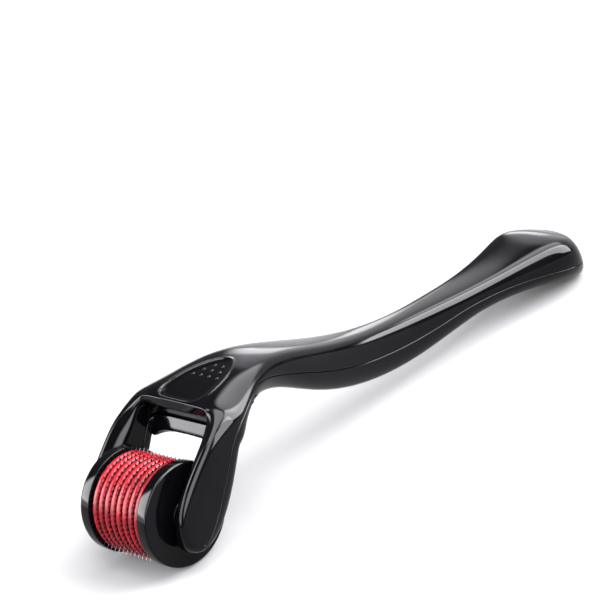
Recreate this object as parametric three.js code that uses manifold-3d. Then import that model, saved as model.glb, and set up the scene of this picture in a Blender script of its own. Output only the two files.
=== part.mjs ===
// Derma roller: a hand-held skin roller. Nine steel needle discs, kept apart by red spacer
// rings and clamped between two end caps, turn on a steel axle between the arms of a fork.
// The fork and the curved handle behind it are moulded as two hollow shells, upper and lower.
//
// Millimetres. +X runs from the drum to the tail of the handle and +Z is up. The roller rests
// on its drum and on its tail, and the origin is the middle of that footprint.

import * as THREE from "three";
import { mergeVertices } from "three/addons/utils/BufferGeometryUtils.js";
import Module from "manifold-3d";

const wasm = await Module();
wasm.setup();

// Driving dimensions
const OVERALL_LENGTH = 142.8;
const NEEDLE_TIP_R = 11.35;
const NEEDLES_PER_DISC = 60;
const DISC_COUNT = 9;
const DRUM_WIDTH = 20.2;
const CAP_R = 11;
const CAP_THICKNESS = 2.65;
const RING_R = 10.35;
const DISC_THICKNESS = 0.3;
const AXLE_R = 1.5;
const KEY_FLATS = 8;
const ARM_INNER_Y = 10.6;
const ARM_OUTER_Y = 15.5;
const WALL = 1.9;

// Gaps between neighbouring solids
const STACK_GAP = 0.05;
const FIT_GAP = 0.3;
const SEAM_GAP = 0.3;

// Sizes that follow from the ones above
const AXIS_X = NEEDLE_TIP_R - OVERALL_LENGTH / 2;
const AXIS_Z = NEEDLE_TIP_R;
const SPACER_COUNT = DISC_COUNT - 1;
const STACK_WIDTH = DRUM_WIDTH - 2 * CAP_THICKNESS;
const PITCH = (STACK_WIDTH - DISC_THICKNESS - 2 * STACK_GAP) / SPACER_COUNT;
const SPACER_WIDTH = PITCH - DISC_THICKNESS - 2 * STACK_GAP;
const AXLE_HALF = ARM_INNER_Y + 2.8;
const SOCKET_DEPTH = AXLE_HALF - ARM_INNER_Y + FIT_GAP;

const BLACK = { color: 0x101013, roughness: 0.16, metalness: 0 };
const RED = { color: 0xb3122a, roughness: 0.18, metalness: 0 };
const STEEL = { color: 0xc4c6ca, roughness: 0.3, metalness: 1 };

// ---------------------------------------------------------------- solids and meshes

function solid(geometry) {
  const bare = (geometry.index ? geometry.toNonIndexed() : geometry.clone());
  const position = new THREE.BufferGeometry();
  position.setAttribute("position", bare.getAttribute("position"));
  const merged = mergeVertices(position, 1e-4);
  return new wasm.Manifold(new wasm.Mesh({
    numProp: 3,
    vertProperties: merged.attributes.position.array,
    triVerts: new Uint32Array(merged.index.array),
  }));
}

function geometryOf(manifold) {
  const mesh = manifold.getMesh();
  const vertices = new Float32Array(mesh.numVert * 3);
  for (let i = 0; i < mesh.numVert; i++) {
    const at = i * mesh.numProp;
    vertices.set(mesh.vertProperties.subarray(at, at + 3), i * 3);
  }
  const geometry = new THREE.BufferGeometry();
  geometry.setAttribute("position", new THREE.BufferAttribute(vertices, 3));
  geometry.setIndex(new THREE.BufferAttribute(mesh.triVerts, 1));
  return geometry;
}

function part(name, geometry, look) {
  const mesh = new THREE.Mesh(geometry, new THREE.MeshStandardMaterial(look));
  mesh.name = name;
  return mesh;
}

// A flat shape extruded along Y, centred on y = 0. The shape is drawn in X and Z.
function plate(shape, thickness, curveSegments = 24) {
  const options = { depth: thickness, bevelEnabled: false, curveSegments };
  const geometry = new THREE.ExtrudeGeometry(shape, options);
  geometry.translate(0, 0, -thickness / 2);
  geometry.rotateX(Math.PI / 2);
  return geometry;
}

function outline(points) {
  return points.map(([x, z]) => new THREE.Vector2(x, z));
}

function hexagon(flats) {
  const r = flats / Math.sqrt(3);
  return Array.from({ length: 6 }, (_, i) => [
    r * Math.cos((i * Math.PI) / 3),
    r * Math.sin((i * Math.PI) / 3),
  ]);
}

// ---------------------------------------------------------------- smooth surfaces

// One Catmull-Clark step on a closed mesh of quads.
function subdivide({ points, quads }) {
  const add = (a, b) => a.map((v, k) => v + b[k]);
  const times = (a, s) => a.map((v) => v * s);
  const mean = (list) => times(list.reduce(add), 1 / list.length);
  const centres = quads.map((q) => mean(q.map((i) => points[i])));
  const edges = new Map();
  const facesAt = points.map(() => []);
  const edgesAt = points.map(() => []);
  quads.forEach((quad, f) => {
    quad.forEach((a, k) => {
      const b = quad[(k + 1) % 4];
      const key = Math.min(a, b) + "," + Math.max(a, b);
      if (!edges.has(key)) {
        edges.set(key, { ends: [a, b], faces: [], index: 0 });
        edgesAt[a].push(key);
        edgesAt[b].push(key);
      }
      edges.get(key).faces.push(f);
      facesAt[a].push(f);
    });
  });
  const moved = points.map((p, i) => {
    const n = facesAt[i].length;
    const around = mean(facesAt[i].map((f) => centres[f]));
    const middles = mean(edgesAt[i].map((key) => mean(edges.get(key).ends.map((e) => points[e]))));
    return times(add(add(around, times(middles, 2)), times(p, n - 3)), 1 / n);
  });
  const made = [...moved, ...centres];
  for (const edge of edges.values()) {
    edge.index = made.length;
    made.push(mean([...edge.ends.map((e) => points[e]), ...edge.faces.map((f) => centres[f])]));
  }
  const between = (a, b) => edges.get(Math.min(a, b) + "," + Math.max(a, b)).index;
  const finer = quads.flatMap((quad, f) => quad.map((a, k) => [
    a, between(a, quad[(k + 1) % 4]), points.length + f, between(quad[(k + 3) % 4], a),
  ]));
  return { points: made, quads: finer };
}

// Moves each vertex of a closed mesh of quads onto the smooth surface it is the cage of.
function ontoLimit({ points, quads }) {
  const beside = points.map(() => new Set());
  const across = points.map(() => []);
  for (const quad of quads) {
    quad.forEach((a, k) => {
      beside[a].add(quad[(k + 1) % 4]).add(quad[(k + 3) % 4]);
      across[a].push(quad[(k + 2) % 4]);
    });
  }
  const moved = points.map((p, i) => {
    const n = across[i].length;
    return p.map((v, k) => {
      const near = [...beside[i]].reduce((sum, j) => sum + points[j][k], 0);
      const far = across[i].reduce((sum, j) => sum + points[j][k], 0);
      return (n * n * v + 4 * near + far) / (n * (n + 5));
    });
  });
  return { points: moved, quads };
}

function cageGeometry({ points, quads }) {
  const geometry = new THREE.BufferGeometry();
  geometry.setAttribute("position", new THREE.Float32BufferAttribute(points.flat(), 3));
  geometry.setIndex(quads.flatMap(([a, b, c, d]) => [a, b, c, a, c, d]));
  return geometry;
}

// ---------------------------------------------------------------- the handle's cage
//
// The cage is a chain of rings from the fork's cross wall to the tail. A ring has eleven columns
// on each side of the middle plane, from the top (0) round to the bottom (10). At the cross wall
// columns 3 to 7 carry on as the outer face of an arm, and four new columns join columns 2 and 8
// to close its inner face. X and Z are measured from the drum's axis.

// Where each column lies: [share of the half width, share of the way from top to bottom].
const SECTIONS = {
  wall: [
    [0, 0], [0.5, 0], [0.68, 0.03], [0.88, 0.14], [0.99, 0.32], [1, 0.56],
    [1, 0.8], [0.93, 0.97], [0.69, 1], [0.5, 1], [0, 1],
  ],
  shoulder: [
    [0, 0], [0.36, 0.01], [0.65, 0.06], [0.86, 0.18], [1, 0.32], [1.03, 0.45],
    [0.95, 0.56], [0.8, 0.74], [0.58, 0.91], [0.28, 1.01], [0, 1.03],
  ],
  neck: [
    [0, 0], [0.36, 0.01], [0.66, 0.05], [0.88, 0.13], [1.03, 0.28], [1.04, 0.46],
    [0.95, 0.65], [0.78, 0.82], [0.54, 0.95], [0.26, 1.02], [0, 1.04],
  ],
  grip: [
    [0, 0], [0.36, 0.005], [0.68, 0.03], [0.9, 0.08], [1.05, 0.28], [1.06, 0.52],
    [0.97, 0.79], [0.78, 0.96], [0.52, 1.02], [0.25, 1.03], [0, 1.04],
  ],
};

// Rings of the handle: top and bottom points in the middle plane, half width, section.
const STATIONS = [
  { top: [12.2, 17.9], bottom: [14.7, 8.4], half: 15.5, section: "wall" },
  { top: [14.4, 18.4], bottom: [16.7, 9.2], half: 15.4, section: "wall" },
  { top: [19.5, 19], bottom: [20.9, 9], half: 13.8, section: "shoulder" },
  { top: [26.5, 19.3], bottom: [26, 11], half: 10.5, section: "neck" },
  { top: [33.8, 18.3], bottom: [31.5, 11.2], half: 8.4, section: "grip" },
  { top: [41.8, 15.6], bottom: [38, 8.1], half: 7.4, section: "grip" },
  { top: [50.5, 11.8], bottom: [46, 2.6], half: 6.4, section: "grip" },
  { top: [59.5, 8.2], bottom: [55, -1.8], half: 5.2, section: "grip" },
  { top: [68.5, 5.7], bottom: [65, -4.7], half: 4.4, section: "grip" },
  { top: [78, 3.9], bottom: [76, -6], half: 4.3, section: "grip" },
  { top: [88, 2.8], bottom: [87, -5.5], half: 4.9, section: "grip" },
  { top: [98, 1.8], bottom: [97, -4.9], half: 5.6, section: "grip" },
  { top: [107, 1.5], bottom: [105.5, -5.6], half: 7, section: "grip" },
  { top: [115, 1.8], bottom: [113, -6.9], half: 9, section: "grip" },
  { top: [121, 2], bottom: [120.5, -8.9], half: 10.9, section: "grip" },
  { top: [125.9, 0.2], bottom: [128.4, -11.5], half: 9.2, section: "grip" },
];

// How far the tail's end bulges past the last ring, and how far its foot reaches past its top.
const TAIL_BULGE = 4.2;
const TAIL_SLANT = 2.9;

// The cross wall between the arms, row by row from under its lip to its foot: the middle
// columns first, then the column in the corner against the arm.
const WALL_ROWS = [
  { middle: [12, 15.8], corner: [12.4, 16] },
  { middle: [15.6, 15], corner: [14.6, 14.2] },
  { middle: [12.9, 9.8], corner: [12.3, 8.4] },
];
const WALL_FOOT = { middle: [14.2, 8.9], corner: [12.6, 6] };
const ARCH_RISE = 1;

// Rings of an arm: distance up the arm from the axle, and its front and rear edges from the
// line through the axle along the arm.
const ARM_ANGLE = THREE.MathUtils.degToRad(48);
const ARM_RINGS = [
  { up: 15, front: 4.8, rear: -5.9 },
  { up: 11, front: 5.8, rear: -6.8 },
  { up: 7, front: 6.5, rear: -7.5 },
  { up: 3, front: 7, rear: -7.7 },
  { up: -1, front: 6.7, rear: -7.4 },
  { up: -4.4, front: 4.8, rear: -5.7 },
  { up: -6.2, front: 2, rear: -3 },
];

// Where an arm's columns lie from its front edge to its rear one. The front slopes back inwards.
const ARM_OUTER_SHARES = [0.03, 0.2, 0.55, 0.82, 0.97];
const ARM_INNER_SHARES = [0.18, 0.36, 0.56, 0.76, 0.9];
const ARM_OUTER_ROUND = 1.3;
const ARM_INNER_ROUND = 0.5;

// How far the middle of the last ring bulges past its ends, which rounds the arm's foot.
const ARM_TIP_BULGE = 1.2;

const mirrored = ([x, y, z]) => [x, -y, z];

function stationPoint({ top, bottom, half, section }, column) {
  const [across, down] = SECTIONS[section][column];
  return [
    top[0] + (bottom[0] - top[0]) * down,
    half * across,
    top[1] + (bottom[1] - top[1]) * down,
  ];
}

function armPoint(ring, share, y) {
  const out = ring.front + (ring.rear - ring.front) * share;
  const bulge = ring === ARM_RINGS.at(-1) ? ARM_TIP_BULGE * (1 - (2 * share - 1) ** 2) : 0;
  const up = ring.up - bulge;
  return [
    up * Math.cos(ARM_ANGLE) - out * Math.sin(ARM_ANGLE),
    y,
    up * Math.sin(ARM_ANGLE) + out * Math.cos(ARM_ANGLE),
  ];
}

// Collects vertices and quads, adding each right-hand quad together with its left-hand mirror.
class Cage {
  points = [];
  quads = [];

  // A vertex as a [right, left] pair, which are one and the same in the middle plane.
  vertex(p) {
    const right = this.points.push(p) - 1;
    return p[1] > 0 ? [right, this.points.push(mirrored(p)) - 1] : [right, right];
  }

  face(...corners) {
    this.quads.push(corners.map((v) => v[0]), corners.map((v) => v[1]).reverse());
  }

  // Faces between two rows of vertices, which run the same way.
  band(from, to) {
    for (let k = 0; k + 1 < from.length; k++) {
      this.face(from[k], to[k], to[k + 1], from[k + 1]);
    }
  }
}

function addHandle(cage) {
  const rings = STATIONS.map((station) => (
    SECTIONS[station.section].map((_, column) => cage.vertex(stationPoint(station, column)))
  ));
  for (let s = 0; s + 1 < rings.length; s++) cage.band(rings[s], rings[s + 1]);
  return { wall: rings[0], last: rings.at(-1) };
}

// Closes the tail with a column of middle points that bulge out between the two sides.
function addTail(cage, last) {
  const end = last.length - 1;
  const spine = last.map((vertex, column) => {
    if (column === 0 || column === end) return vertex;
    const [x, , z] = stationPoint(STATIONS.at(-1), column);
    const bulge = TAIL_BULGE * Math.sin((Math.PI * column) / end) ** 0.7;
    return cage.vertex([x + bulge + TAIL_SLANT * ((2 * column) / end - 1), 0, z]);
  });
  cage.band(last.slice(1, end), spine.slice(1, end));
  cage.quads.push(
    [spine[0][0], last[1][1], spine[1][0], last[1][0]],
    [spine[end][0], last[end - 1][0], spine[end - 1][0], last[end - 1][1]],
  );
}

// The cross wall. Returns the column in the corner, from which an arm's inner face starts.
function addWall(cage, wall) {
  const [, flankY, cornerY] = SECTIONS.wall.map(([across]) => across * STATIONS[0].half);
  const move = (vertex, [x, z]) => {
    for (const i of vertex) [cage.points[i][0], cage.points[i][2]] = [x, z];
  };
  move(wall[8], WALL_FOOT.corner);
  move(wall[9], [WALL_FOOT.middle[0], WALL_FOOT.middle[1] - ARCH_RISE]);
  move(wall[10], WALL_FOOT.middle);
  const rows = WALL_ROWS.map(({ middle, corner }) => [
    cage.vertex([middle[0], 0, middle[1]]),
    cage.vertex([middle[0], flankY, middle[1]]),
    cage.vertex([corner[0], cornerY, corner[1]]),
  ]);
  const all = [wall.slice(0, 3), ...rows, [wall[10], wall[9], wall[8]]];
  for (let r = 0; r + 1 < all.length; r++) cage.band(all[r + 1], all[r]);
  return all.map((row) => row[2]);
}

function addArms(cage, wall, corner) {
  let outer = wall.slice(3, 8);
  let inner = corner;
  for (const ring of ARM_RINGS) {
    const atEdge = (k) => k === 0 || k === 4;
    const nextOuter = ARM_OUTER_SHARES.map((share, k) => (
      cage.vertex(armPoint(ring, share, ARM_OUTER_Y - (atEdge(k) ? ARM_OUTER_ROUND : 0)))
    ));
    const nextInner = ARM_INNER_SHARES.map((share, k) => (
      cage.vertex(armPoint(ring, share, ARM_INNER_Y + (atEdge(k) ? ARM_INNER_ROUND : 0)))
    ));
    cage.band(nextOuter, outer);
    cage.band(inner, nextInner);
    cage.face(nextInner[0], inner[0], outer[0], nextOuter[0]);
    cage.face(inner.at(-1), nextInner.at(-1), nextOuter.at(-1), outer.at(-1));
    outer = nextOuter;
    inner = nextInner;
  }
  cage.band(inner, outer);
}

function handleCage() {
  const cage = new Cage();
  const { wall, last } = addHandle(cage);
  addTail(cage, last);
  addArms(cage, wall, addWall(cage, wall));
  return cage;
}

// ---------------------------------------------------------------- cutting the handle

// The seam between the shells, seen from the side, from outside the arm's tip to past the tail.
const SEAM = [
  [-4.4, -9.5], [3.4, -1.6], [7.8, 4.2], [13.2, 11.6], [19.2, 14.9], [25, 16], [29, 15.6],
  [34, 13.6], [41, 10.2], [48.5, 6.4], [56, 3.3], [64.5, 0.9], [73.5, -0.7], [83, -1.3],
  [93, -1.3], [103, -2.1], [113, -3.6], [122, -5.6], [136, -8.8],
];

// A slab above (side 1) or below (side -1) the seam, wider and longer than the handle.
const SLAB = { tail: 150, front: -60, tip: -3, height: 60, frontFoot: -30, width: 60 };

function seamSlab(side) {
  const shift = (side * SEAM_GAP) / 2;
  const line = SEAM.map(([x, z], i) => {
    const before = SEAM[Math.max(0, i - 1)];
    const after = SEAM[Math.min(SEAM.length - 1, i + 1)];
    const slope = Math.atan2(after[1] - before[1], after[0] - before[0]);
    return [x - shift * Math.sin(slope), z + shift * Math.cos(slope)];
  });
  const { tail, front, tip, height, frontFoot, width } = SLAB;
  const above = [[tail, height], [front, height], [front, frontFoot]];
  const below = [[tail, -height], [tip, -height]];
  const end = [tail, line.at(-1)[1]];
  const shape = new THREE.Shape(outline([...line, end, ...(side > 0 ? above : below)]));
  return solid(plate(shape, width));
}

// The hollow inside the grip: a loft a wall's thickness inside the rings from the neck on.
function hollow() {
  const rings = STATIONS.slice(3, -1).map(({ top, bottom, half, section }) => {
    const length = Math.hypot(bottom[0] - top[0], bottom[1] - top[1]);
    const share = WALL / length;
    const lerp = (t) => [top[0] + (bottom[0] - top[0]) * t, top[1] + (bottom[1] - top[1]) * t];
    return { top: lerp(share * 1.15), bottom: lerp(1 - share), half: half - WALL, section };
  });
  const right = [0, 2, 4, 6, 8, 10];
  const vertices = rings.flatMap((ring) => {
    const side = right.map((column) => stationPoint(ring, column));
    return [...side, ...side.slice(1, -1).reverse().map(mirrored)];
  });
  const count = 10;
  const triangles = [];
  for (let s = 0; s + 1 < rings.length; s++) {
    for (let k = 0; k < count; k++) {
      const a = s * count + k;
      const b = s * count + ((k + 1) % count);
      triangles.push(a, a + count, b + count, a, b + count, b);
    }
  }
  const end = (rings.length - 1) * count;
  for (let k = 1; k + 1 < count; k++) {
    triangles.push(0, k, k + 1, end, end + k + 1, end + k);
  }
  const geometry = new THREE.BufferGeometry();
  geometry.setAttribute("position", new THREE.Float32BufferAttribute(vertices.flat(), 3));
  geometry.setIndex(triangles);
  return solid(geometry);
}

// A blind socket in each arm for the axle's end.
function axleSockets() {
  const reach = ARM_INNER_Y + SOCKET_DEPTH;
  const profile = [[0, -reach], [AXLE_R + FIT_GAP, -reach], [AXLE_R + FIT_GAP, reach], [0, reach]];
  return solid(new THREE.LatheGeometry(outline(profile), 24));
}

// A straight prism along Z, from height low to height high.
function upright(shape, low, high) {
  const options = { depth: high - low, bevelEnabled: false, curveSegments: 5 };
  return solid(new THREE.ExtrudeGeometry(shape, options).translate(0, 0, low));
}

// The thumb rest: a shallow recess in the fork's top face. Its floor runs parallel to that face,
// and small dots stand on it towards the neck.
const REST_SIDE = [
  [12.9, 3.4], [13.6, 5.6], [15.6, 6.6], [18.9, 6.3], [22.9, 5.3], [26.6, 3.4], [28.6, 1.6],
];
const REST_DEPTH = 0.45;
const DOT_HEIGHT = 0.25;
const DOT_R = 0.45;
const DOT_PITCH = 2.4;
const DOT_ROWS = [{ x: 22, count: 4 }, { x: 24.1, count: 3 }, { x: 26.2, count: 2 }];

function withThumbRest(body) {
  const far = REST_SIDE.map(([x, y]) => [x, -y]).reverse();
  const above = upright(new THREE.Shape(outline([...REST_SIDE, [29.2, 0], ...far])), 14, 24);
  let made = body.subtract(above.subtract(body.translate([0, 0, -REST_DEPTH])));
  const dotTops = body.translate([0, 0, DOT_HEIGHT - REST_DEPTH]);
  for (const { x, count } of DOT_ROWS) {
    for (let i = 0; i < count; i++) {
      const y = (i - (count - 1) / 2) * DOT_PITCH;
      const post = upright(new THREE.Shape().absarc(x, y, DOT_R, 0, 2 * Math.PI), 16.6, 24);
      made = made.add(post.intersect(dotTops));
    }
  }
  return made;
}

// What lies below the surface that the roller rests on.
function belowRest() {
  const depth = 20;
  return solid(new THREE.BoxGeometry(300, 80, depth).translate(0, 0, -AXIS_Z - depth / 2));
}

function handleShells() {
  const smooth = ontoLimit(subdivide(handleCage()));
  const body = withThumbRest(solid(cageGeometry(smooth)));
  const whole = body.subtract(hollow()).subtract(axleSockets()).subtract(belowRest());
  return {
    upper: whole.intersect(seamSlab(1)),
    lower: whole.intersect(seamSlab(-1)),
  };
}

// ---------------------------------------------------------------- the drum

// A steel disc whose rim is cut into needles. Every other disc is turned by half a needle.
function needleDisc(odd) {
  const rootR = 9.3;
  const points = [];
  for (let i = 0; i < 2 * NEEDLES_PER_DISC; i++) {
    const angle = ((i + (odd ? 1 : 0)) * Math.PI) / NEEDLES_PER_DISC;
    const r = i % 2 ? rootR : NEEDLE_TIP_R;
    points.push([r * Math.cos(angle), r * Math.sin(angle)]);
  }
  const shape = new THREE.Shape(outline(points));
  shape.holes.push(new THREE.Path(outline(hexagon(KEY_FLATS + 2 * FIT_GAP))));
  return plate(shape, DISC_THICKNESS);
}

function spacerRing() {
  const shape = new THREE.Shape().absarc(0, 0, RING_R, 0, 2 * Math.PI);
  shape.holes.push(new THREE.Path(outline(hexagon(KEY_FLATS + 2 * FIT_GAP))));
  return plate(shape, SPACER_WIDTH, 48);
}

// The keyed core that the discs and rings slide onto, bored for the axle.
function keyedCore(length) {
  const shape = new THREE.Shape(outline(hexagon(KEY_FLATS)));
  shape.holes.push(new THREE.Path().absarc(0, 0, AXLE_R + FIT_GAP, 0, 2 * Math.PI, true));
  return plate(shape, length, 24);
}

const CAP_EDGE = 0.45;
const CAP_BOSS_R = 3.4;
const CAP_BOSS_HEIGHT = 0.25;
const KEY_POCKET = 1.3;

// An end cap, flat inside and with a rubbing boss outside, drawn for the +Y end of the drum.
function endCap() {
  const inside = DRUM_WIDTH / 2 - CAP_THICKNESS;
  const outside = DRUM_WIDTH / 2;
  const bore = AXLE_R + FIT_GAP;
  const profile = [
    [bore, inside], [CAP_R, inside], [CAP_R, outside - CAP_EDGE], [CAP_R - CAP_EDGE, outside],
    [CAP_BOSS_R, outside], [CAP_BOSS_R, outside + CAP_BOSS_HEIGHT],
    [bore, outside + CAP_BOSS_HEIGHT], [bore, inside],
  ];
  const pocketShape = new THREE.Shape(outline(hexagon(KEY_FLATS + 2 * FIT_GAP)));
  const pocket = plate(pocketShape, 2 * KEY_POCKET).translate(0, inside, 0);
  return solid(new THREE.LatheGeometry(outline(profile), 60)).subtract(solid(pocket));
}

function axle() {
  const chamfer = 0.4;
  const profile = [
    [0, -AXLE_HALF], [AXLE_R - chamfer, -AXLE_HALF], [AXLE_R, -AXLE_HALF + chamfer],
    [AXLE_R, AXLE_HALF - chamfer], [AXLE_R - chamfer, AXLE_HALF], [0, AXLE_HALF],
  ];
  return new THREE.LatheGeometry(outline(profile), 24);
}

// ---------------------------------------------------------------- the assembly

const handle = new THREE.Group();
const shells = handleShells();
handle.add(part("handle_upper_shell", geometryOf(shells.upper), BLACK));
handle.add(part("handle_lower_shell", geometryOf(shells.lower), BLACK));

const drum = new THREE.Group();
const twoDigits = (n) => String(n).padStart(2, "0");
for (let i = 0; i < DISC_COUNT; i++) {
  const disc = part(`needle_disc_${twoDigits(i + 1)}`, needleDisc(i % 2 === 1), STEEL);
  disc.position.y = (i - (DISC_COUNT - 1) / 2) * PITCH;
  drum.add(disc);
}
for (let i = 0; i < SPACER_COUNT; i++) {
  const ring = part(`spacer_ring_${twoDigits(i + 1)}`, spacerRing(), RED);
  ring.position.y = (i - (SPACER_COUNT - 1) / 2) * PITCH;
  drum.add(ring);
}
drum.add(part("drum_core", keyedCore(STACK_WIDTH + 2 * (KEY_POCKET - FIT_GAP)), RED));
const cap = endCap();
drum.add(part("end_cap_left", geometryOf(cap), BLACK));
drum.add(part("end_cap_right", geometryOf(cap.mirror([0, 1, 0])), BLACK));
drum.add(part("axle_pin", axle(), STEEL));

const roller = new THREE.Group();
roller.add(handle, drum);
handle.position.set(AXIS_X, 0, AXIS_Z);
drum.position.set(AXIS_X, 0, AXIS_Z);

export default roller;
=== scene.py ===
import math

import bmesh
import bpy
import numpy as np
from mathutils import Matrix, Vector


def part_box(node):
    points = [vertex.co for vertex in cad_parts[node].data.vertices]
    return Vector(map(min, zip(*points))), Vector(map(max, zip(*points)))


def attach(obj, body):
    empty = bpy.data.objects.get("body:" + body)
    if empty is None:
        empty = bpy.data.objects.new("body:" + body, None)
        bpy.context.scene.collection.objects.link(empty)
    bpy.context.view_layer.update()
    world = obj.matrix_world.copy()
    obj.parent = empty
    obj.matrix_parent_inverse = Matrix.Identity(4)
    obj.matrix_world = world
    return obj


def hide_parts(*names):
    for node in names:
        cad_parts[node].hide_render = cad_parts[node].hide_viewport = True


# Looks for the derma roller. The shells, caps, rings and needle discs are finer meshes that
# stand for their CAD nodes; the core and the axle keep theirs. Shapes are worked out in
# millimetres from the drum's axis, X towards the tail and Z up, and placed in metres.

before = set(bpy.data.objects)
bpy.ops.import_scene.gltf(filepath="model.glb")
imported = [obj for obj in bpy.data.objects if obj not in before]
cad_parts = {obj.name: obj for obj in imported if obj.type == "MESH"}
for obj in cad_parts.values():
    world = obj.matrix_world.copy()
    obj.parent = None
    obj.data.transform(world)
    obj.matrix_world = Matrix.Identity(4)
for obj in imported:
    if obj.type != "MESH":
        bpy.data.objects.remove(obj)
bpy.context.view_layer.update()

MM = 0.001


def middle(box):
    return (Vector(box[0]) + Vector(box[1])) / 2


AXIS = middle(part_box("axle_pin"))
REST_Z = -AXIS.z / MM

# Points worked out along a smooth curve for each one given, and levels of the handle's smoothing.
CURVE_STEPS = 8
SMOOTH_LEVELS = 4

# ---------------------------------------------------------------- the handle's cage
# The same chain of rings as in the CAD: eleven columns a side, from the top round to the
# bottom, given as [share of the half width, share of the way from top to bottom].

SECTIONS = {
    "wall": [
        (0, 0), (0.5, 0), (0.68, 0.03), (0.88, 0.14), (0.99, 0.32), (1, 0.56),
        (1, 0.8), (0.93, 0.97), (0.69, 1), (0.5, 1), (0, 1),
    ],
    "shoulder": [
        (0, 0), (0.36, 0.01), (0.65, 0.06), (0.86, 0.18), (1.0, 0.32), (1.03, 0.45),
        (0.95, 0.56), (0.8, 0.74), (0.58, 0.91), (0.28, 1.01), (0, 1.03),
    ],
    "neck": [
        (0, 0), (0.36, 0.01), (0.66, 0.05), (0.88, 0.13), (1.03, 0.28), (1.04, 0.46),
        (0.95, 0.65), (0.78, 0.82), (0.54, 0.95), (0.26, 1.02), (0, 1.04),
    ],
    "grip": [
        (0, 0), (0.36, 0.005), (0.68, 0.03), (0.9, 0.08), (1.05, 0.28), (1.06, 0.52),
        (0.97, 0.79), (0.78, 0.96), (0.52, 1.02), (0.25, 1.03), (0, 1.04),
    ],
}

# Top point, bottom point, half width and section of each ring.
STATIONS = [
    ((12.2, 17.9), (14.7, 8.4), 15.5, "wall"),
    ((14.4, 18.4), (16.7, 9.2), 15.4, "wall"),
    ((19.5, 19), (20.9, 9), 13.8, "shoulder"),
    ((26.5, 19.3), (26, 11), 10.5, "neck"),
    ((33.8, 18.3), (31.5, 11.2), 8.4, "grip"),
    ((41.8, 15.6), (38, 8.1), 7.4, "grip"),
    ((50.5, 11.8), (46, 2.6), 6.4, "grip"),
    ((59.5, 8.2), (55, -1.8), 5.2, "grip"),
    ((68.5, 5.7), (65, -4.7), 4.4, "grip"),
    ((78, 3.9), (76, -6), 4.3, "grip"),
    ((88, 2.8), (87, -5.5), 4.9, "grip"),
    ((98, 1.8), (97, -4.9), 5.6, "grip"),
    ((107, 1.5), (105.5, -5.6), 7, "grip"),
    ((115, 1.8), (113, -6.9), 9, "grip"),
    ((121, 2), (120.5, -8.9), 10.9, "grip"),
    ((125.9, 0.2), (128.4, -11.5), 9.2, "grip"),
]
TAIL_ROUND = 0.7
TAIL_BULGE = 4.2
TAIL_SLANT = 2.9

# The cross wall between the arms, from under its lip to its foot: middle and corner columns.
WALL_ROWS = [
    ((12, 15.8), (12.4, 16)),
    ((15.6, 15), (14.6, 14.2)),
    ((12.9, 9.8), (12.3, 8.4)),
]
WALL_FOOT = ((14.2, 8.9), (12.6, 6))
ARCH_RISE = 1
WALL_CREASES = [0.75, 0.75, 0.3, 0.9, 0]

# Distance up the arm from the axle, and front and rear edges of each ring of an arm.
ARM_ANGLE = math.radians(48)
ARM_INNER_Y = 10.6
ARM_OUTER_Y = 15.5
ARM_RINGS = [
    (15, 4.8, -5.9),
    (11, 5.8, -6.8),
    (7, 6.5, -7.5),
    (3, 7, -7.7),
    (-1, 6.7, -7.4),
    (-4.4, 4.8, -5.7),
    (-6.2, 2, -3),
]
ARM_OUTER_SHARES = [0.03, 0.2, 0.55, 0.82, 0.97]
ARM_INNER_SHARES = [0.18, 0.36, 0.56, 0.76, 0.9]
ARM_OUTER_ROUND = 1.3
ARM_INNER_ROUND = 0.5
ARM_TIP_BULGE = 1.2


def station_point(station, column):
    top, bottom, half, section = station
    across, down = SECTIONS[section][column]
    return (
        top[0] + (bottom[0] - top[0]) * down,
        half * across,
        top[1] + (bottom[1] - top[1]) * down,
    )


def arm_point(ring, share, y):
    up, front, rear = ring
    if ring == ARM_RINGS[-1]:
        up -= ARM_TIP_BULGE * (1 - (2 * share - 1) ** 2)
    out = front + (rear - front) * share
    return (
        up * math.cos(ARM_ANGLE) - out * math.sin(ARM_ANGLE),
        y,
        up * math.sin(ARM_ANGLE) + out * math.cos(ARM_ANGLE),
    )


class Cage:
    """Vertices and quads. Each right-hand quad is added together with its left-hand mirror."""

    def __init__(self):
        self.points = []
        self.quads = []
        self.creases = {}

    def add(self, point):
        self.points.append(list(point))
        return len(self.points) - 1

    def vertex(self, point):
        right = self.add(point)
        if point[1] <= 0:
            return (right, right)
        return (right, self.add((point[0], -point[1], point[2])))

    def face(self, *corners):
        self.quads.append([corner[0] for corner in corners])
        self.quads.append([corner[1] for corner in reversed(corners)])

    def band(self, start, end):
        for k in range(len(start) - 1):
            self.face(start[k], end[k], end[k + 1], start[k + 1])

    def crease(self, row, weight):
        for a, b in zip(row, row[1:]):
            for side in (0, 1):
                self.creases[frozenset((a[side], b[side]))] = weight


def add_tail(cage, last):
    end = len(last) - 1
    spine = [last[0]]
    for column in range(1, end):
        x, _, z = station_point(STATIONS[-1], column)
        share = column / end
        bulge = TAIL_BULGE * math.sin(math.pi * share) ** TAIL_ROUND + TAIL_SLANT * (2 * share - 1)
        spine.append(cage.vertex((x + bulge, 0, z)))
    spine.append(last[end])
    cage.band(last[1:end], spine[1:end])
    cage.quads.append([spine[0][0], last[1][1], spine[1][0], last[1][0]])
    cage.quads.append([spine[end][0], last[end - 1][0], spine[end - 1][0], last[end - 1][1]])


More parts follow.
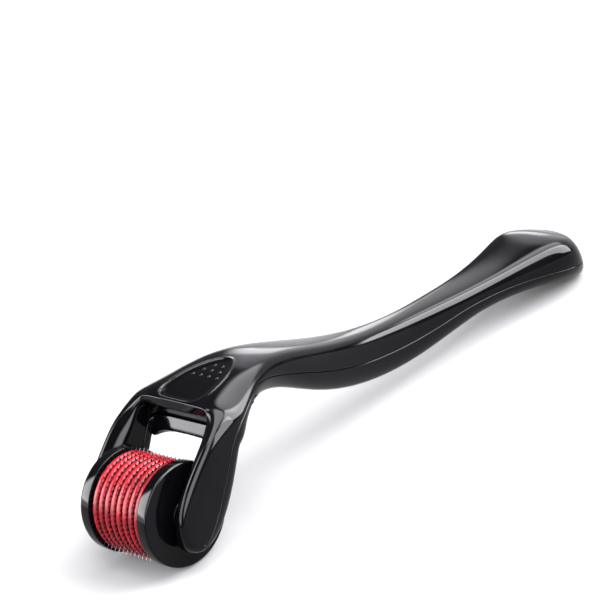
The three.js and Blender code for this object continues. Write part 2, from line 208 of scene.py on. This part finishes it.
def add_wall(cage, wall):
    half = STATIONS[0][2]
    flank_y = SECTIONS["wall"][1][0] * half
    corner_y = SECTIONS["wall"][2][0] * half
    foot, corner = WALL_FOOT
    arch = (foot[0], foot[1] - ARCH_RISE)
    for vertex, (x, z) in ((wall[8], corner), (wall[9], arch), (wall[10], foot)):
        for i in vertex:
            cage.points[i][0] = x
            cage.points[i][2] = z
    rows = [wall[0:3]]
    for (mx, mz), (cx, cz) in WALL_ROWS:
        rows.append([
            cage.vertex((mx, 0, mz)),
            cage.vertex((mx, flank_y, mz)),
            cage.vertex((cx, corner_y, cz)),
        ])
    rows.append([wall[10], wall[9], wall[8]])
    for upper, lower in zip(rows, rows[1:]):
        cage.band(lower, upper)
    for row, weight in zip(rows, WALL_CREASES):
        cage.crease(row, weight)
    return [row[2] for row in rows]


def add_arms(cage, wall, corner):
    outer = wall[3:8]
    inner = corner
    for ring in ARM_RINGS:
        next_outer = []
        next_inner = []
        for k in range(len(ARM_OUTER_SHARES)):
            edge = k in (0, len(ARM_OUTER_SHARES) - 1)
            outer_y = ARM_OUTER_Y - (ARM_OUTER_ROUND if edge else 0)
            inner_y = ARM_INNER_Y + (ARM_INNER_ROUND if edge else 0)
            next_outer.append(cage.vertex(arm_point(ring, ARM_OUTER_SHARES[k], outer_y)))
            next_inner.append(cage.vertex(arm_point(ring, ARM_INNER_SHARES[k], inner_y)))
        cage.band(next_outer, outer)
        cage.band(inner, next_inner)
        cage.face(next_inner[0], inner[0], outer[0], next_outer[0])
        cage.face(inner[4], next_inner[4], next_outer[4], outer[4])
        outer = next_outer
        inner = next_inner
    cage.band(inner, outer)


def handle_cage():
    cage = Cage()
    columns = range(len(SECTIONS["grip"]))
    rings = [[cage.vertex(station_point(s, c)) for c in columns] for s in STATIONS]
    for before, after in zip(rings, rings[1:]):
        cage.band(before, after)
    add_tail(cage, rings[-1])
    add_arms(cage, rings[0], add_wall(cage, rings[0]))
    return cage


def smoothed(cage, levels):
    """A bmesh of the smooth surface that the cage stands for, in millimetres."""
    mesh = bpy.data.meshes.new("cage")
    mesh.from_pydata(cage.points, [], cage.quads)
    crease = mesh.attributes.new("crease_edge", "FLOAT", "EDGE")
    for edge in mesh.edges:
        crease.data[edge.index].value = cage.creases.get(frozenset(edge.vertices), 0)
    holder = bpy.data.objects.new("cage", mesh)
    bpy.context.collection.objects.link(holder)
    subsurf = holder.modifiers.new("smooth", "SUBSURF")
    subsurf.levels = levels
    subsurf.render_levels = levels
    bpy.context.view_layer.update()
    evaluated = holder.evaluated_get(bpy.context.evaluated_depsgraph_get())
    bm = bmesh.new()
    bm.from_mesh(evaluated.to_mesh())
    evaluated.to_mesh_clear()
    bpy.data.objects.remove(holder)
    bpy.data.meshes.remove(mesh)
    return bm


# ---------------------------------------------------------------- curves and level cuts

# Distances taken as equal, and the least distance of a vertex from a level that it isn't on.
SAME_DISTANCE = 1e-9
LEVEL_MARGIN = 1e-6


def neighbours(points, i, closed):
    """The point before the given one, that point itself, and the two after it."""
    count = len(points)
    places = range(i - 1, i + 3)
    if closed:
        return [points[k % count] for k in places]
    return [points[min(max(k, 0), count - 1)] for k in places]


def catmull_rom(points, steps, closed):
    """Points along a smooth curve through the given ones."""
    points = [np.array(p, float) for p in points]
    made = []
    for i in range(len(points) if closed else len(points) - 1):
        a, b, c, d = neighbours(points, i, closed)
        for t in np.arange(steps) / steps:
            made.append(0.5 * (
                2 * b + (c - a) * t + (2 * a - 5 * b + 4 * c - d) * t * t
                + (3 * b - 3 * c + d - a) * t ** 3
            ))
    made.append(made[0] if closed else points[-1])
    return np.array(made)


def signed_distance(places, curve):
    """Distance of each 2-D place from a curve, positive on the curve's left."""
    start = curve[:-1]
    step = curve[1:] - start
    length2 = (step ** 2).sum(1)
    best = np.full(len(places), np.inf)
    side = np.ones(len(places))
    for a, s, l2 in zip(start, step, length2):
        rel = places - a
        t = np.clip((rel @ s) / l2, 0, 1)
        gap = rel - t[:, None] * s
        distance = np.hypot(gap[:, 0], gap[:, 1])
        cross = s[0] * rel[:, 1] - s[1] * rel[:, 0]
        nearer = distance < best - SAME_DISTANCE
        best = np.where(nearer, distance, best)
        side = np.where(nearer, np.where(cross >= 0, 1.0, -1.0), side)
    return best * side


def coordinates(bm):
    return np.array([v.co[:] for v in bm.verts])


def cut_along(bm, field, level):
    """Cuts the faces along the line where a field of the vertices' places has that level."""
    values = field(bm) - level
    values[np.abs(values) < LEVEL_MARGIN] = LEVEL_MARGIN
    bm.verts.index_update()
    crossing = []
    for edge in bm.edges:
        a, b = values[edge.verts[0].index], values[edge.verts[1].index]
        if a * b < 0:
            crossing.append((edge, abs(a) / (abs(a) + abs(b))))
    fresh = set()
    for edge, share in crossing:
        _, vertex = bmesh.utils.edge_split(edge, edge.verts[0], share)
        fresh.add(vertex)
    for face in list({f for v in fresh for f in v.link_faces}):
        ends = [v for v in face.verts if v in fresh]
        if len(ends) == 2:
            bmesh.utils.face_split(face, ends[0], ends[1])


# ---------------------------------------------------------------- the thumb rest

REST_SIDE = [
    (12.9, 3.4), (13.6, 5.6), (15.6, 6.6), (18.9, 6.3), (22.9, 5.3), (26.6, 3.4), (28.6, 1.6),
]
REST_APEX = (29.2, 0)
# The recess's profile: distance inside its outline, and height from the face around it.
REST_PROFILE = [
    (-0.7, 0), (-0.4, 0.05), (-0.2, 0.09), (-0.08, 0.07), (0.04, 0), (0.16, -0.11),
    (0.3, -0.19), (1.15, -0.4), (1.3, -0.44), (1.5, -0.45),
]
DOT_R = 0.42
DOT_HEIGHT = 0.2
DOT_SINK = 0.05
DOT_PITCH = 2.4
DOT_ROWS = [(22, 4), (24.1, 3), (26.2, 2)]
# The part of the handle that the recess can be in: X range, least height, least upward slant.
REST_REACH_X = (10.5, 32)
REST_LEAST_Z = 14.5
REST_LEAST_UP = 0.35
FAR_OFF = -5.0

rest_corners = [(x, -y) for x, y in REST_SIDE] + [REST_APEX] + REST_SIDE[::-1]
rest_outline = catmull_rom(rest_corners, CURVE_STEPS, closed=True)


def rest_field(bm):
    """Distance inside the thumb rest's outline, on the fork's top face only."""
    co = coordinates(bm)
    up = np.array([v.normal.z for v in bm.verts])
    near = (co[:, 0] > REST_REACH_X[0]) & (co[:, 0] < REST_REACH_X[1])
    near = near & (co[:, 2] > REST_LEAST_Z) & (up > REST_LEAST_UP)
    values = np.full(len(co), FAR_OFF)
    values[near] = signed_distance(co[near][:, :2], rest_outline)
    return values


def press_thumb_rest(bm):
    distances, heights = zip(*REST_PROFILE)
    for level in distances:
        cut_along(bm, rest_field, level)
    rises = np.interp(rest_field(bm), distances, heights)
    for vertex, rise in zip(bm.verts, rises):
        vertex.co.z += rise


def dome(bm, centre, radius, height, rings=5, segments=20):
    """A low dome whose edge lies in the plane of its centre."""
    top = bm.verts.new(centre + Vector((0, 0, height)))
    inner = None
    for i in range(1, rings + 1):
        tilt = 0.5 * math.pi * i / rings
        ring = []
        for k in range(segments):
            turn = 2 * math.pi * k / segments
            out = Vector((math.cos(turn), math.sin(turn), 0)) * radius * math.sin(tilt)
            ring.append(bm.verts.new(centre + out + Vector((0, 0, height * math.cos(tilt)))))
        for k in range(segments):
            n = (k + 1) % segments
            bm.faces.new((inner[k], ring[k], ring[n], inner[n]) if inner else (top, ring[k], ring[n]))
        inner = ring
    bm.faces.new(list(reversed(inner)))


def add_dots(bm):
    """Small domes on the thumb rest's floor."""
    co = coordinates(bm)
    for x, count in DOT_ROWS:
        for i in range(count):
            y = (i - (count - 1) / 2) * DOT_PITCH
            floor = co[np.hypot(co[:, 0] - x, co[:, 1] - y) < DOT_R][:, 2].max()
            dome(bm, Vector((x, y, floor - DOT_SINK)), DOT_R, DOT_HEIGHT + DOT_SINK)


# ---------------------------------------------------------------- the seam

SEAM = [
    (-4.4, -9.5), (3.4, -1.6), (7.8, 4.2), (13.2, 11.6), (19.2, 14.9), (25, 16), (29, 15.6),
    (34, 13.6), (41, 10.2), (48.5, 6.4), (56, 3.3), (64.5, 0.9), (73.5, -0.7), (83, -1.3),
    (93, -1.3), (103, -2.1), (113, -3.6), (122, -5.6), (136, -8.8),
]
SEAM_HALF_GAP = 0.05
SEAM_ROUND = 0.26
SEAM_STEPS = [0, 0.02, 0.06, 0.12, 0.19, 0.26]
SEAM_REACH = 3.0

seam_curve = catmull_rom(SEAM, CURVE_STEPS, closed=False)


def seam_field(bm):
    """Height above the seam, exact near it."""
    co = coordinates(bm)[:, [0, 2]]
    order = seam_curve[:, 0].argsort()
    values = co[:, 1] - np.interp(co[:, 0], seam_curve[order, 0], seam_curve[order, 1])
    near = np.abs(values) < SEAM_REACH
    values[near] = signed_distance(co[near], seam_curve)
    return values


def open_seam(bm):
    """Cuts the seam's gap, and rounds the shells' edges along it. Returns upper and gap faces."""
    for step in SEAM_STEPS:
        for side in (1, -1):
            cut_along(bm, seam_field, side * (SEAM_HALF_GAP + step))
    bm.normal_update()
    values = seam_field(bm)
    inside = np.clip(SEAM_ROUND - (np.abs(values) - SEAM_HALF_GAP), 0, SEAM_ROUND)
    for vertex, reach in zip(bm.verts, inside):
        vertex.co -= vertex.normal * (SEAM_ROUND - math.sqrt(SEAM_ROUND ** 2 - reach ** 2))
    by_vertex = dict(zip(bm.verts, values))
    upper, gap = [], []
    for face in bm.faces:
        value = sum(by_vertex[v] for v in face.verts) / len(face.verts)
        if abs(value) < SEAM_HALF_GAP:
            gap.append(face)
        elif value > 0:
            upper.append(face)
    return upper, gap


def piece_from(bm, name, material, body, nodes):
    """Turns a bmesh in millimetres round the drum's axis into a shaded piece in the shared frame."""
    bmesh.ops.transform(bm, matrix=Matrix.Translation(AXIS) @ Matrix.Scale(MM, 4), verts=bm.verts)
    mesh = bpy.data.meshes.new(name)
    bm.to_mesh(mesh)
    bm.free()
    mesh.shade_smooth()
    mesh.materials.append(material)
    piece = bpy.data.objects.new(name, mesh)
    bpy.context.collection.objects.link(piece)
    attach(piece, body)
    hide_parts(*nodes)
    return piece


SHELL_WALL = 1.2


def thicken(bm, thickness):
    """Adds the inner surface of a wall, and the rim that joins it to the outer one."""
    bm.normal_update()
    outer = list(bm.faces)
    rim = [edge for edge in bm.edges if edge.is_boundary]
    inner = {vertex: bm.verts.new(vertex.co - vertex.normal * thickness) for vertex in list(bm.verts)}
    for face in outer:
        bm.faces.new([inner[vertex] for vertex in reversed(face.verts)])
    for edge in rim:
        loop = edge.link_loops[0]
        a, b = loop.vert, loop.link_loop_next.vert
        bm.faces.new((b, a, inner[a], inner[b]))
    return list(inner.values())


def flatten_foot(bm, inner):
    """Flattens what reaches below the surface that the roller lies on."""
    for vertex in bm.verts:
        vertex.co.z = max(vertex.co.z, REST_Z)
    for vertex in inner:
        vertex.co.z = max(vertex.co.z, REST_Z + SHELL_WALL)


def make_shells(material):
    whole = smoothed(handle_cage(), SMOOTH_LEVELS)
    whole.normal_update()
    press_thumb_rest(whole)
    upper, gap = open_seam(whole)
    whole.faces.index_update()
    upper_ids = {face.index for face in upper}
    gap_ids = {face.index for face in gap}
    for name, keep_upper in (("upper_shell", True), ("lower_shell", False)):
        bm = whole.copy()
        bm.faces.ensure_lookup_table()
        dropped = [f for f in bm.faces if f.index in gap_ids or (f.index in upper_ids) != keep_upper]
        bmesh.ops.delete(bm, geom=dropped, context="FACES")
        flatten_foot(bm, thicken(bm, SHELL_WALL))
        if keep_upper:
            add_dots(bm)
        piece_from(bm, name, material, "handle", ["handle_" + name])
    whole.free()


# ---------------------------------------------------------------- the drum

DISC_COUNT = 9
NEEDLES = 60
TIP_R = 10.92
FOOT_R = 10.3
WEB_R = 9.9
DISC_BORE_R = 5.1
RING_R = 10.4
RING_BORE_R = 4.9
RING_CROWN = 0.3
RING_ROUNDS = [0, 0.12, 0.3, 0.3, 0.12, 0]
CAP_R = 11
CAP_BORE_R = 1.8
CAP_HUB_R = 3.4
CAP_HUB_RISE = 0.25
CAP_ROUNDS = [0, 0.15, 0.55, 0.1, 0.1, 0.05]
CAP_THICKNESS = 2.65
DRUM_WIDTH = 20.2
DISC_THICKNESS = 0.3
STACK_GAP = 0.05
STACK_WIDTH = DRUM_WIDTH - 2 * CAP_THICKNESS
PITCH = (STACK_WIDTH - DISC_THICKNESS - 2 * STACK_GAP) / (DISC_COUNT - 1)
SPACER_WIDTH = PITCH - DISC_THICKNESS - 2 * STACK_GAP
TURN_SEGMENTS = 160
SHARP_ANGLE = math.radians(35)
NEEDLE_SHARP_ANGLE = math.radians(25)
# One needle and the rim up to the next: place in the needle's step, radius, share of the thickness.
NEEDLE_OUTLINE = [
    (-0.5, WEB_R, 1), (-0.16, WEB_R, 1), (-0.11, FOOT_R, 0.9), (0, TIP_R, 0.4),
    (0.11, FOOT_R, 0.9), (0.16, WEB_R, 1),
]


def rounded(profile, radii, steps=5):
    """A closed profile with each corner replaced by an arc of its own radius."""
    made = []
    count = len(profile)
    for i, radius in enumerate(radii):
        corner = Vector(profile[i])
        if not radius:
            made.append(corner)
            continue
        back = (Vector(profile[i - 1]) - corner).normalized()
        on = (Vector(profile[(i + 1) % count]) - corner).normalized()
        for k in range(steps + 1):
            t = k / steps
            start = corner + back * radius
            end = corner + on * radius
            made.append(start * (1 - t) ** 2 + corner * 2 * t * (1 - t) + end * t ** 2)
    return made


def turned(profile, segments):
    """A bmesh of a closed (radius, y) profile turned round the drum's axis."""
    bm = bmesh.new()
    rings = []
    for k in range(segments):
        angle = 2 * math.pi * k / segments
        rings.append([bm.verts.new((r * math.cos(angle), y, r * math.sin(angle))) for r, y in profile])
    for k in range(segments):
        a, b = rings[k], rings[(k + 1) % segments]
        for j in range(len(profile)):
            i = (j + 1) % len(profile)
            bm.faces.new((a[j], b[j], b[i], a[i]))
    bmesh.ops.recalc_face_normals(bm, faces=bm.faces)
    return bm


def make_caps(material):
    inside = DRUM_WIDTH / 2 - CAP_THICKNESS
    outside = DRUM_WIDTH / 2
    hub = outside + CAP_HUB_RISE
    profile = [
        (CAP_BORE_R, inside), (CAP_R, inside), (CAP_R, outside), (CAP_HUB_R, outside),
        (CAP_HUB_R, hub), (CAP_BORE_R, hub),
    ]
    for name, side in (("end_cap_left", 1), ("end_cap_right", -1)):
        bm = turned([(p.x, p.y * side) for p in rounded(profile, CAP_ROUNDS)], TURN_SEGMENTS)
        piece = piece_from(bm, name + "_skin", material, "drum", [name])
        piece.data.set_sharp_from_angle(angle=SHARP_ANGLE)


def make_rings(material):
    half = SPACER_WIDTH / 2
    side = RING_R - RING_CROWN
    profile = [
        (RING_BORE_R, -half), (side, -half), (RING_R, -half / 2),
        (RING_R, half / 2), (side, half), (RING_BORE_R, half),
    ]
    for i in range(DISC_COUNT - 1):
        y = (i - (DISC_COUNT - 2) / 2) * PITCH
        bm = turned([(p.x, p.y + y) for p in rounded(profile, RING_ROUNDS)], TURN_SEGMENTS)
        node = f"spacer_ring_{i + 1:02d}"
        piece = piece_from(bm, node + "_skin", material, "drum", [node])
        piece.data.set_sharp_from_angle(angle=SHARP_ANGLE)


def disc_side(bm, centre, side, turn):
    """Bore and rim vertices of one face of a disc, in pairs round the axis."""
    step = 2 * math.pi / NEEDLES
    face_y = centre + side * DISC_THICKNESS / 2
    pairs = []
    for k in range(NEEDLES):
        for share, r, thick in NEEDLE_OUTLINE:
            angle = (k + share) * step + turn
            rim_y = centre + side * thick * DISC_THICKNESS / 2
            across, up = math.cos(angle), math.sin(angle)
            bore = bm.verts.new((DISC_BORE_R * across, face_y, DISC_BORE_R * up))
            rim = bm.verts.new((r * across, rim_y, r * up))
            pairs.append((bore, rim))
    return pairs


def disc_mesh(i):
    """A thin plate whose rim is cut into slender needles."""
    bm = bmesh.new()
    centre = (i - (DISC_COUNT - 1) / 2) * PITCH
    turn = math.pi / NEEDLES * (i % 2)
    back, front = [disc_side(bm, centre, side, turn) for side in (-1, 1)]
    count = len(back)
    for k in range(count):
        n = (k + 1) % count
        (a0, b0), (a1, b1) = back[k], back[n]
        (c0, d0), (c1, d1) = front[k], front[n]
        for quad in ((a0, b0, b1, a1), (c0, c1, d1, d0), (b0, d0, d1, b1), (a0, a1, c1, c0)):
            bm.faces.new(quad)
    bmesh.ops.recalc_face_normals(bm, faces=bm.faces)
    return bm


def make_discs(material):
    for i in range(DISC_COUNT):
        node = f"needle_disc_{i + 1:02d}"
        piece = piece_from(disc_mesh(i), node + "_skin", material, "drum", [node])
        piece.data.set_sharp_from_angle(angle=NEEDLE_SHARP_ANGLE)


# ---------------------------------------------------------------- materials

def new_material(name):
    material = bpy.data.materials.new(name)
    material.use_nodes = True
    nodes = material.node_tree.nodes
    return material, nodes, material.node_tree.links, nodes["Principled BSDF"]


def noise(nodes, links, scale, detail=3.0, stretch=None):
    """Noise in object space, in cycles per metre."""
    coords = nodes.new("ShaderNodeTexCoord")
    made = nodes.new("ShaderNodeTexNoise")
    made.inputs["Scale"].default_value = scale
    made.inputs["Detail"].default_value = detail
    source = coords.outputs["Object"]
    if stretch:
        mapping = nodes.new("ShaderNodeMapping")
        mapping.inputs["Scale"].default_value = stretch
        links.new(source, mapping.inputs["Vector"])
        source = mapping.outputs["Vector"]
    links.new(source, made.inputs["Vector"])
    return made.outputs["Fac"]


def ramp(nodes, links, source, stops):
    made = nodes.new("ShaderNodeValToRGB")
    elements = made.color_ramp.elements
    while len(elements) < len(stops):
        elements.new(0.5)
    for element, (position, colour) in zip(elements, stops):
        element.position = position
        element.color = (*colour, 1)
    links.new(source, made.inputs["Fac"])
    return made.outputs["Color"]


def spread(nodes, links, source, low, high):
    """The source's middle range, spread from low to high."""
    made = nodes.new("ShaderNodeMapRange")
    made.inputs["From Min"].default_value = 0.3
    made.inputs["From Max"].default_value = 0.7
    made.inputs["To Min"].default_value = low
    made.inputs["To Max"].default_value = high
    links.new(source, made.inputs["Value"])
    return made.outputs["Result"]


def bump(nodes, links, height, strength, distance):
    made = nodes.new("ShaderNodeBump")
    made.inputs["Strength"].default_value = strength
    made.inputs["Distance"].default_value = distance
    links.new(height, made.inputs["Height"])
    return made.outputs["Normal"]


def black_plastic():
    """Moulded gloss black, with faint flow clouds and finger smears in its shine."""
    material, nodes, links, shader = new_material("black_gloss_plastic")
    clouds = noise(nodes, links, 60)
    tones = [(0.35, (0.0003, 0.0003, 0.0004)), (0.65, (0.0006, 0.0006, 0.0008))]
    links.new(ramp(nodes, links, clouds, tones), shader.inputs["Base Color"])
    smears = noise(nodes, links, 140, 5, (1, 2.2, 1.6))
    links.new(spread(nodes, links, smears, 0.05, 0.12), shader.inputs["Roughness"])
    links.new(bump(nodes, links, noise(nodes, links, 500, 2), 0.05, 0.0001), shader.inputs["Normal"])
    shader.inputs["Specular IOR Level"].default_value = 0.08
    return material


def red_plastic():
    """Clear red plastic: deep red with light let through, and moulding streaks round the drum."""
    material, nodes, links, shader = new_material("red_translucent_plastic")
    clouds = noise(nodes, links, 260, 4)
    tones = [(0.3, (0.045, 0.0009, 0.0022)), (0.7, (0.105, 0.0022, 0.005))]
    links.new(ramp(nodes, links, clouds, tones), shader.inputs["Base Color"])
    links.new(spread(nodes, links, noise(nodes, links, 500, 3), 0.2, 0.34), shader.inputs["Roughness"])
    streaks = noise(nodes, links, 500, 3, (1, 4, 1))
    links.new(bump(nodes, links, streaks, 0.15, 0.0002), shader.inputs["Normal"])
    shader.inputs["Specular IOR Level"].default_value = 0.035
    shader.inputs["Transmission Weight"].default_value = 0.2
    shader.inputs["Subsurface Weight"].default_value = 0.5
    shader.inputs["Subsurface Radius"].default_value = (0.003, 0.0003, 0.0003)
    shader.inputs["Subsurface Scale"].default_value = 1.0
    return material


def radius_from_axis(nodes, links):
    """Distance of the shaded point from the drum's axis, in metres."""
    coords = nodes.new("ShaderNodeTexCoord")
    offset = nodes.new("ShaderNodeVectorMath")
    offset.operation = "SUBTRACT"
    offset.inputs[1].default_value = AXIS
    links.new(coords.outputs["Object"], offset.inputs[0])
    flat = nodes.new("ShaderNodeVectorMath")
    flat.operation = "MULTIPLY"
    flat.inputs[1].default_value = (1, 0, 1)
    links.new(offset.outputs["Vector"], flat.inputs[0])
    length = nodes.new("ShaderNodeVectorMath")
    length.operation = "LENGTH"
    links.new(flat.outputs["Vector"], length.inputs[0])
    return length.outputs["Value"]


def needle_steel():
    """Steel whose dark red tone is painted shade between the red rings, lighter towards the needles'
    points as a painted highlight.
    """
    material, nodes, links, shader = new_material("needle_steel")
    grain = noise(nodes, links, 900, 4, (1, 6, 1))
    # Painted shade: the sheet's dark red tone. Painted highlight: the lighter tone towards the
    # needles' points.
    shaded_sheet = ramp(nodes, links, grain, [(0.3, (0.007, 0.0018, 0.0024)), (0.7, (0.018, 0.005, 0.006))])
    painted_tip_glint = ramp(nodes, links, grain, [(0.3, (0.035, 0.026, 0.028)), (0.7, (0.07, 0.055, 0.057))])
    tip_glint_mask = nodes.new("ShaderNodeMapRange")
    tip_glint_mask.inputs["From Min"].default_value = 10.6 * MM
    tip_glint_mask.inputs["From Max"].default_value = 10.85 * MM
    links.new(radius_from_axis(nodes, links), tip_glint_mask.inputs["Value"])
    mix = nodes.new("ShaderNodeMix")
    mix.data_type = "RGBA"
    links.new(tip_glint_mask.outputs["Result"], mix.inputs["Factor"])
    links.new(shaded_sheet, mix.inputs["A"])
    links.new(painted_tip_glint, mix.inputs["B"])
    links.new(mix.outputs["Result"], shader.inputs["Base Color"])
    links.new(spread(nodes, links, grain, 0.25, 0.4), shader.inputs["Roughness"])
    links.new(bump(nodes, links, grain, 0.1, 0.00005), shader.inputs["Normal"])
    shader.inputs["Metallic"].default_value = 1
    return material


def axle_steel():
    """Drawn steel with fine marks along its length."""
    material, nodes, links, shader = new_material("axle_steel")
    grain = noise(nodes, links, 700, 4, (6, 1, 6))
    tones = [(0.3, (0.42, 0.42, 0.44)), (0.7, (0.6, 0.6, 0.62))]
    links.new(ramp(nodes, links, grain, tones), shader.inputs["Base Color"])
    links.new(spread(nodes, links, grain, 0.2, 0.36), shader.inputs["Roughness"])
    links.new(bump(nodes, links, grain, 0.1, 0.00005), shader.inputs["Normal"])
    shader.inputs["Metallic"].default_value = 1
    return material


def floor_material():
    material, nodes, links, shader = new_material("floor")
    tones = [(0.3, (FLOOR_TONE * 0.98,) * 3), (0.7, (FLOOR_TONE,) * 3)]
    links.new(ramp(nodes, links, noise(nodes, links, 2), tones), shader.inputs["Base Color"])
    shader.inputs["Roughness"].default_value = 0.9
    shader.inputs["Specular IOR Level"].default_value = 0.08
    return material


# ---------------------------------------------------------------- stage, lights, camera

CAMERA_PLACE = (-0.40509, -0.48851, 0.31294)
CAMERA_TURN = (65.149, 14.206, -45.556)
CAMERA_LENS = 196.9
SENSOR = 36

FLOOR_SIZE = 12
FLOOR_TONE = 0.092
STUDIO_GLOW = 0.2
# A small softbox near the fork: what it lights, its bearing and distance, size and radiance.
FORK = Vector((-0.046, -0.014, 0.024))
FORK_LIGHT_BEARING = (-70, 33)
FORK_LIGHT_DISTANCE = 0.2
FORK_LIGHT_SIZE = (0.09, 0.18)
FORK_LIGHT_RADIANCE = 36
# Softboxes painted on the studio's dome: corners (azimuth from +X towards +Y, elevation) in
# order round each box, the softness of its edges, and its radiance.
SOFTBOXES = [
    ([(-57, 16), (-29, 2), (-20, 2), (-14, 31), (6, 49), (4, 62), (-84, 62), (-68, 45)], 0.03, 44),
    ([(-30, 34), (28, 34), (43, 42), (40, 62), (-20, 62)], 0.07, 14),
    ([(-20, 1), (48, 1), (48, 27), (40, 36), (-15, 32)], 0.04, 2.3),
    ([(40, 2), (48, 2), (48, 11), (40, 11)], 0.03, 3.5),
    ([(116, 9), (150, 8), (150, 48), (112, 50)], 0.05, 35),
    ([(114, 0), (150, 0), (150, 12), (112, 12)], 0.05, 6),
    ([(-126, 8), (-94, 8), (-94, 72), (-126, 72)], 0.08, 26),
    ([(160, 6), (194, 6), (194, 45), (160, 45)], 0.08, 22),
    ([(-180, 70), (-120, 70), (-60, 70), (0, 70), (60, 70), (120, 70)], 0.05, 26),
]


def add_floor():
    half = FLOOR_SIZE / 2
    corners = [(-half, -half, 0), (half, -half, 0), (half, half, 0), (-half, half, 0)]
    mesh = bpy.data.meshes.new("floor")
    mesh.from_pydata(corners, [], [(0, 1, 2, 3)])
    mesh.materials.append(floor_material())
    floor = bpy.data.objects.new("floor", mesh)
    bpy.context.collection.objects.link(floor)


def bearing(azimuth, elevation):
    az, el = math.radians(azimuth), math.radians(elevation)
    return Vector((math.cos(az) * math.cos(el), math.sin(az) * math.cos(el), math.sin(el)))


def painted_softbox(nodes, links, direction, corners, softness, radiance):
    """The radiance of a softbox with straight edges, as a socket."""
    ends = [bearing(*corner) for corner in corners]
    centre = sum(ends, Vector()).normalized()
    made = None
    for a, b in zip(ends, ends[1:] + ends[:1]):
        inwards = a.cross(b).normalized()
        if inwards.dot(centre) < 0:
            inwards.negate()
        dot = nodes.new("ShaderNodeVectorMath")
        dot.operation = "DOT_PRODUCT"
        dot.inputs[1].default_value = inwards
        links.new(direction, dot.inputs[0])
        edge = nodes.new("ShaderNodeMapRange")
        edge.interpolation_type = "SMOOTHSTEP"
        edge.inputs["From Min"].default_value = -softness
        edge.inputs["From Max"].default_value = softness
        edge.inputs["To Max"].default_value = 1 if made else radiance
        links.new(dot.outputs["Value"], edge.inputs["Value"])
        if made:
            product = nodes.new("ShaderNodeMath")
            product.operation = "MULTIPLY"
            links.new(made, product.inputs[0])
            links.new(edge.outputs["Result"], product.inputs[1])
            made = product.outputs["Value"]
        else:
            made = edge.outputs["Result"]
    return made


def add_studio():
    world = bpy.data.worlds.new("studio")
    world.use_nodes = True
    nodes, links = world.node_tree.nodes, world.node_tree.links
    direction = nodes.new("ShaderNodeTexCoord").outputs["Generated"]
    total = None
    for box in SOFTBOXES:
        made = painted_softbox(nodes, links, direction, *box)
        add = nodes.new("ShaderNodeMath")
        add.operation = "ADD"
        if total:
            links.new(total, add.inputs[0])
        else:
            add.inputs[0].default_value = STUDIO_GLOW
        links.new(made, add.inputs[1])
        total = add.outputs["Value"]
    background = nodes["Background"]
    background.inputs["Color"].default_value = (0.975, 0.97, 1, 1)
    links.new(total, background.inputs["Strength"])
    bpy.context.scene.world = world


def add_softbox(name, place, target, width, height, radiance):
    """A rectangular light at a place, facing a target."""
    light = bpy.data.lights.new(name, "AREA")
    light.shape = "RECTANGLE"
    light.size = width
    light.size_y = height
    light.energy = radiance * math.pi * width * height
    box = bpy.data.objects.new(name, light)
    box.location = place
    box.rotation_euler = (Vector(place) - Vector(target)).to_track_quat("Z", "Y").to_euler()
    bpy.context.collection.objects.link(box)


def add_camera():
    data = bpy.data.cameras.new("camera")
    data.lens = CAMERA_LENS
    data.sensor_width = SENSOR
    data.clip_start = 0.01
    camera = bpy.data.objects.new("camera", data)
    camera.location = CAMERA_PLACE
    camera.rotation_euler = [math.radians(a) for a in CAMERA_TURN]
    bpy.context.collection.objects.link(camera)
    bpy.context.scene.camera = camera


# ---------------------------------------------------------------- assembly

black = black_plastic()
red = red_plastic()
make_shells(black)
make_caps(black)
make_rings(red)
make_discs(needle_steel())
for node, material in (("drum_core", red), ("axle_pin", axle_steel())):
    for material_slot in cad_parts[node].material_slots:
        material_slot.material = material

add_floor()
add_studio()
fork_light_place = FORK + bearing(*FORK_LIGHT_BEARING) * FORK_LIGHT_DISTANCE
add_softbox("fork_light", fork_light_place, FORK, *FORK_LIGHT_SIZE, FORK_LIGHT_RADIANCE)
add_camera()
bpy.context.scene.view_settings.view_transform = "Standard"
